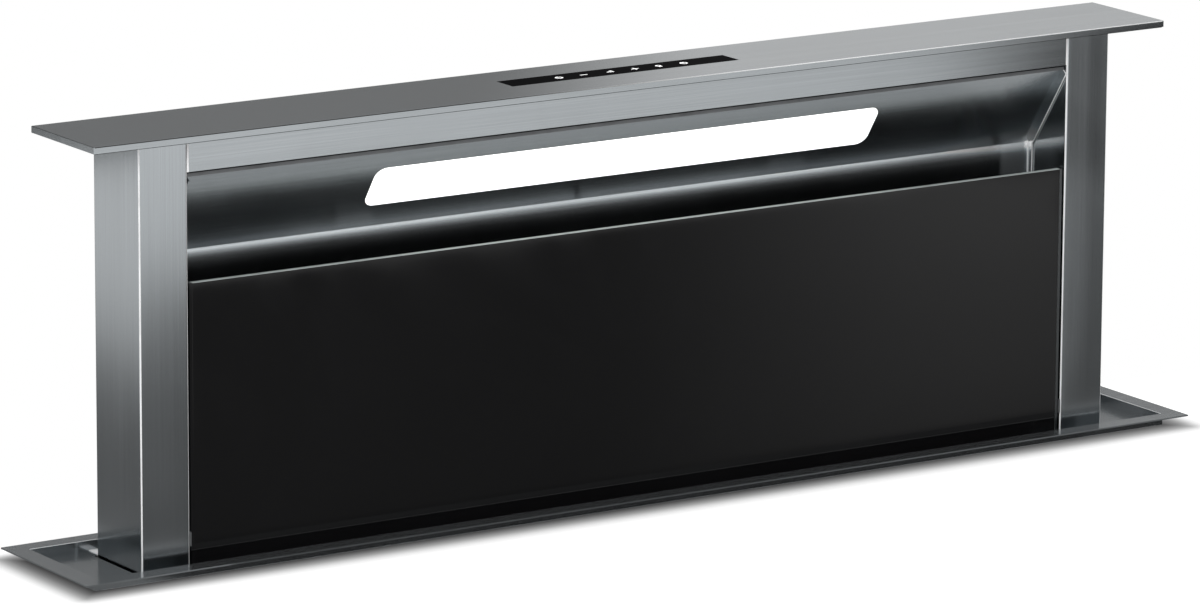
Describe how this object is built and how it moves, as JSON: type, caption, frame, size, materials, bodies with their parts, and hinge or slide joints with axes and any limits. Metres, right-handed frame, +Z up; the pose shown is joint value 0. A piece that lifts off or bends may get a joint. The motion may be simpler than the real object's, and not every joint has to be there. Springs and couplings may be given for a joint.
{
  "type": "downdraft vent",
  "caption": "Worktop downdraft vent with a lifting steel and glass intake tower, light, touch keys, grease filters, rack lift, and a blower housing with a round duct collar.",
  "frame": {"origin": "middle of the overall length and depth, on the cabinet floor under the foot brackets", "axes": "+X along the cap to the right as seen from the glass side, +Y from the glass side to the back, +Z up"},
  "size_m": [0.937, 0.276, 0.9005],
  "materials": {
    "zinc_sheet": "zinc-coated sheet, dull",
    "brushed_sheet": "fine straight brushing, satin",
    "machined_steel": "turned or cut bright steel",
    "seal_rubber": "closed foam and soft rubber, matt",
    "control_glass": "black backed glass, gloss",
    "front_glass": "black backed toughened glass, gloss",
    "board_green": "circuit board",
    "cover_black": "moulded, fine grain",
    "diffuser_white": "opal, lit from behind",
    "led_board_white": "white circuit board",
    "aluminium_sheet": "mill finish",
    "aluminium_profile": "anodised, satin",
    "filter_aluminium": "pressed mesh in a folded frame",
    "cast_aluminium": "die cast, matt",
    "motor_steel": "drawn can, satin",
    "motor_black": "black enamel",
    "nylon_white": "moulded nylon",
    "acetal_natural": "cut acetal",
    "scroll_grey": "moulded, matt",
    "wheel_zinc": "zinc-coated strip"
  },
  "bodies": {
    "housing": {"trim_frame": "brushed_sheet", "frame_seal": "seal_rubber", "guide_clips": "machined_steel", "rear_panel": "zinc_sheet", "front_panel": "zinc_sheet", "side_panel_left": "zinc_sheet", "side_panel_right": "zinc_sheet", "bottom_panel": "zinc_sheet", "guide_rail_left": "aluminium_profile", "guide_rail_right": "aluminium_profile", "rack_left": "machined_steel", "rack_right": "machined_steel", "foot_bracket_left": "zinc_sheet", "foot_bracket_right": "zinc_sheet", "blower_box": "zinc_sheet", "blower_cover": "zinc_sheet", "volute": "scroll_grey", "volute_lid": "scroll_grey", "blower_motor": "motor_black", "outlet_duct": "scroll_grey", "outlet_collar": "scroll_grey", "damper_pin": "machined_steel", "electronics_box": "cover_black", "electronics_lid": "cover_black", "mains_gland": "cover_black"},
    "tower": {"top_cap": "brushed_sheet", "cap_tray": "zinc_sheet", "cap_seal": "seal_rubber", "control_glass": "control_glass", "control_board": "board_green", "control_cover": "cover_black", "left_column": "brushed_sheet", "right_column": "brushed_sheet", "front_rail": "brushed_sheet", "back_liner": "brushed_sheet", "led_diffuser": "diffuser_white", "led_tray": "aluminium_sheet", "led_board": "led_board_white", "rear_cover": "brushed_sheet", "glass_fittings": "machined_steel", "glass_support": "brushed_sheet", "grease_filter_left": "filter_aluminium", "grease_filter_right": "filter_aluminium", "filter_rails": "brushed_sheet", "lower_crossbeam": "zinc_sheet", "bearing_blocks": "nylon_white", "lift_gearbox": "cast_aluminium", "lift_motor": "motor_steel", "slide_shoes": "nylon_white"},
    "glass": {"front_glass": "front_glass", "glass_trims": "aluminium_profile", "glass_hooks": "machined_steel"},
    "drive_shaft": {"cross_shaft": "machined_steel", "pinion_left": "acetal_natural", "pinion_right": "acetal_natural"},
    "rotor": {"fan_wheel": "wheel_zinc", "fan_blades": "wheel_zinc", "fan_shaft": "machined_steel"},
    "flap_front": {"damper_flap_front": "aluminium_sheet"},
    "flap_back": {"damper_flap_back": "aluminium_sheet"}
  },
  "joints": [
    {"name": "tower_lift", "type": "slide", "parent": "housing", "child": "tower", "axis": [0, 0, 1], "range_m": [-0.298, 0]},
    {"name": "glass_lift", "type": "slide", "parent": "tower", "child": "glass", "axis": [0, 0, 1], "range_m": [0, 0.01]},
    {"name": "shaft_turn", "type": "hinge", "parent": "tower", "child": "drive_shaft", "pos_m": [0, 0.09753, 0.4685], "axis": [1, 0, 0], "range_deg": [0, 1068]},
    {"name": "rotor_spin", "type": "hinge", "parent": "housing", "child": "rotor", "pos_m": [-0.03, -0.03, 0.2303], "axis": [0, 1, 0], "continuous": true},
    {"name": "flap_front_swing", "type": "hinge", "parent": "housing", "child": "flap_front", "pos_m": [0.184, -0.05128, 0.162], "axis": [0, 0, 1], "range_deg": [0, 80], "stiffness_Nm_per_rad": 0.003},
    {"name": "flap_back_swing", "type": "hinge", "parent": "housing", "child": "flap_back", "pos_m": [0.184, -0.05128, 0.162], "axis": [0, 0, -1], "range_deg": [0, 80], "stiffness_Nm_per_rad": 0.003}
  ],
  "couplings": [
    {"joint": "shaft_turn", "follows": "tower_lift", "rad_per_m": -62.5}
  ]
}
